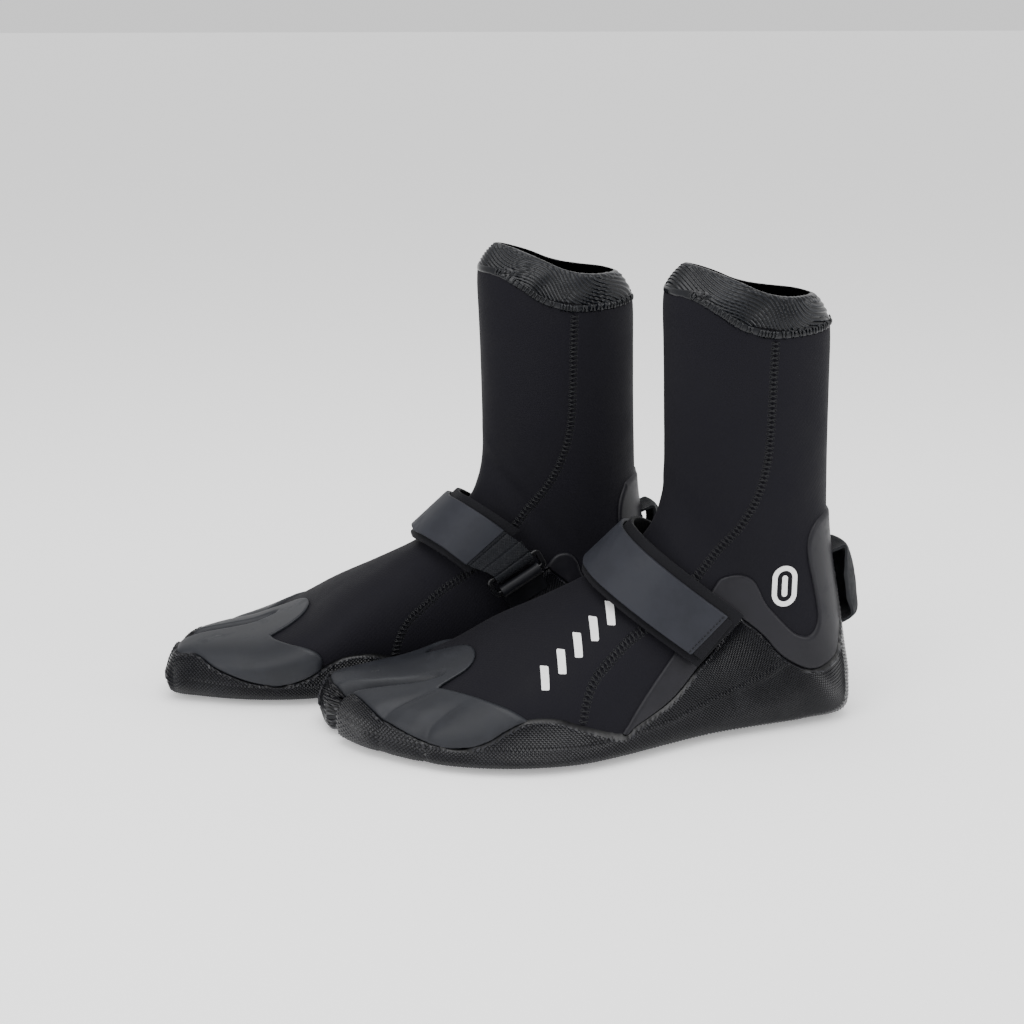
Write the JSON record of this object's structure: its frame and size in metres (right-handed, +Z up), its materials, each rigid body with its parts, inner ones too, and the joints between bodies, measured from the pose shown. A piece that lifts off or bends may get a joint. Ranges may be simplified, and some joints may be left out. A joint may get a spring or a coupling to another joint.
{
  "type": "neoprene surf boots",
  "caption": "Pair of high-cut split-toe neoprene surf boots with rubber soles, toe caps, instep straps through rings, sealed cuffs and heel pull loops.",
  "frame": {"origin": "centre of the pair's bounding box, on the plane the soles stand on", "axes": "+Z up, toes towards -Y, the wearer's left boot towards +X and set back, the right boot towards -X and set forward"},
  "size_m": [0.2356, 0.3846, 0.2534],
  "materials": {
    "neoprene": "matte knitted face over foam rubber",
    "glide_skin": "glossy smooth-skin rubber with fine ridges",
    "lining": "brushed pile",
    "insole_foam": "matte foam",
    "seam_tape": "matte",
    "thread": "overlock stitching",
    "sole_rubber": "matte with a fine raised diamond pattern",
    "smooth_rubber": "smooth satin",
    "strap_ply": "brushed loop face",
    "strap_rubber": "smooth satin",
    "hook": "hook face",
    "ring_plastic": "satin",
    "webbing": "woven tape",
    "keeper_tape": "smooth tape",
    "print_white": "printed ink"
  },
  "bodies": {
    "left_boot": {"left_ankle_print": "print_white", "left_cuff_band": "glide_skin", "left_cuff_binding": "thread", "left_front_panel": "neoprene", "left_heel_loop_ends": "webbing", "left_heel_wrap": "smooth_rubber", "left_inner_seam": "thread", "left_inner_seam_tape": "seam_tape", "left_insole": "insole_foam", "left_lining": "lining", "left_outer_seam": "thread", "left_outsole": "sole_rubber", "left_rear_panel": "neoprene", "left_ring_keeper": "keeper_tape", "left_sole_panel": "neoprene", "left_strap_inner": "strap_ply", "left_toe_cap": "smooth_rubber", "left_vamp_print": "print_white"},
    "left_strap": {"left_strap_panel": "strap_rubber", "left_strap_webbing": "webbing"},
    "left_strap_end": {"left_strap_tip": "strap_rubber", "left_strap_tab": "strap_ply", "left_hook_patch": "hook"},
    "left_ring_body": {"left_ring": "ring_plastic"},
    "left_loop": {"left_heel_loop": "webbing"},
    "right_boot": {"right_ankle_print": "print_white", "right_cuff_band": "glide_skin", "right_cuff_binding": "thread", "right_front_panel": "neoprene", "right_heel_loop_ends": "webbing", "right_heel_wrap": "smooth_rubber", "right_inner_seam": "thread", "right_inner_seam_tape": "seam_tape", "right_insole": "insole_foam", "right_lining": "lining", "right_outer_seam": "thread", "right_outsole": "sole_rubber", "right_rear_panel": "neoprene", "right_ring_keeper": "keeper_tape", "right_sole_panel": "neoprene", "right_strap_inner": "strap_ply", "right_toe_cap": "smooth_rubber", "right_vamp_print": "print_white"},
    "right_strap": {"right_strap_panel": "strap_rubber", "right_strap_webbing": "webbing"},
    "right_strap_end": {"right_strap_tip": "strap_rubber", "right_strap_tab": "strap_ply", "right_hook_patch": "hook"},
    "right_ring_body": {"right_ring": "ring_plastic"},
    "right_loop": {"right_heel_loop": "webbing"}
  },
  "joints": [
    {"name": "left_ring_swing", "type": "hinge", "parent": "left_boot", "child": "left_ring_body", "pos_m": [0.0088, 0.09419, 0.06558], "axis": [-0.1651, -0.8628, -0.4778], "range_deg": [0, 45]},
    {"name": "left_strap_open", "type": "hinge", "parent": "left_ring_body", "child": "left_strap", "pos_m": [0.0088, 0.08973, 0.07362], "axis": [-0.1651, -0.8628, -0.4778], "range_deg": [0, 50]},
    {"name": "left_strap_peel", "type": "hinge", "parent": "left_strap", "child": "left_strap_end", "pos_m": [0.0604, 0.0472, 0.09734], "axis": [0, -0.7272, -0.6864], "range_deg": [0, 75]},
    {"name": "left_loop_pull", "type": "slide", "parent": "left_boot", "child": "left_loop", "axis": [0, 1, 0], "range_m": [0, 0.006], "stiffness_N_per_m": 150},
    {"name": "right_ring_swing", "type": "hinge", "parent": "right_boot", "child": "right_ring_body", "pos_m": [-0.00608, 0.01018, 0.06558], "axis": [-0.1412, 0.8671, 0.4778], "range_deg": [0, 45]},
    {"name": "right_strap_open", "type": "hinge", "parent": "right_ring_body", "child": "right_strap", "pos_m": [-0.00621, 0.00572, 0.07362], "axis": [-0.1412, 0.8671, 0.4778], "range_deg": [0, 80]},
    {"name": "right_strap_peel", "type": "hinge", "parent": "right_strap", "child": "right_strap_end", "pos_m": [-0.05896, -0.03537, 0.09734], "axis": [0.0201, 0.7269, 0.6865], "range_deg": [0, 75]},
    {"name": "right_loop_pull", "type": "slide", "parent": "right_boot", "child": "right_loop", "axis": [0.0276, 0.9996, 0], "range_m": [0, 0.006], "stiffness_N_per_m": 150},
    {"name": "right_boot_lift", "type": "slide", "parent": "left_boot", "child": "right_boot", "axis": [0, 0, 1], "range_m": [0, 0.3]}
  ]
}
